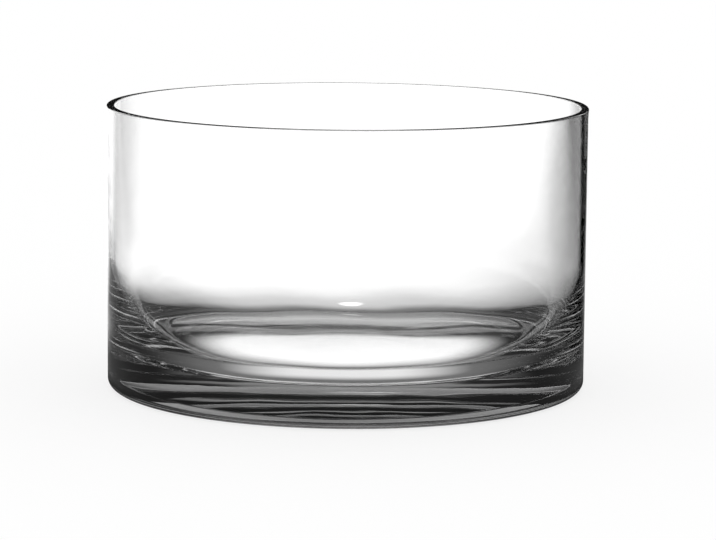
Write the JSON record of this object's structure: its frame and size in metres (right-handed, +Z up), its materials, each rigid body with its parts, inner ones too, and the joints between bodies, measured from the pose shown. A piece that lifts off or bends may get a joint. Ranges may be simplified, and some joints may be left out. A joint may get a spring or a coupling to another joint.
{
  "type": "salad bowl",
  "caption": "Straight-sided round salad bowl of clear blown glass, with a thin wall that thickens towards a heavy base, a fire-polished rim and a shallow hollow underneath.",
  "frame": {"origin": "middle of the plane that the bowl stands on, under the centre of its base", "axes": "+Z up along the bowl's axis of revolution; X and Y are interchangeable"},
  "size_m": [0.2164, 0.2164, 0.127],
  "materials": {
    "clear_glass": "polished"
  },
  "bodies": {
    "root": {"glass_bowl": "clear_glass"}
  },
  "joints": []
}
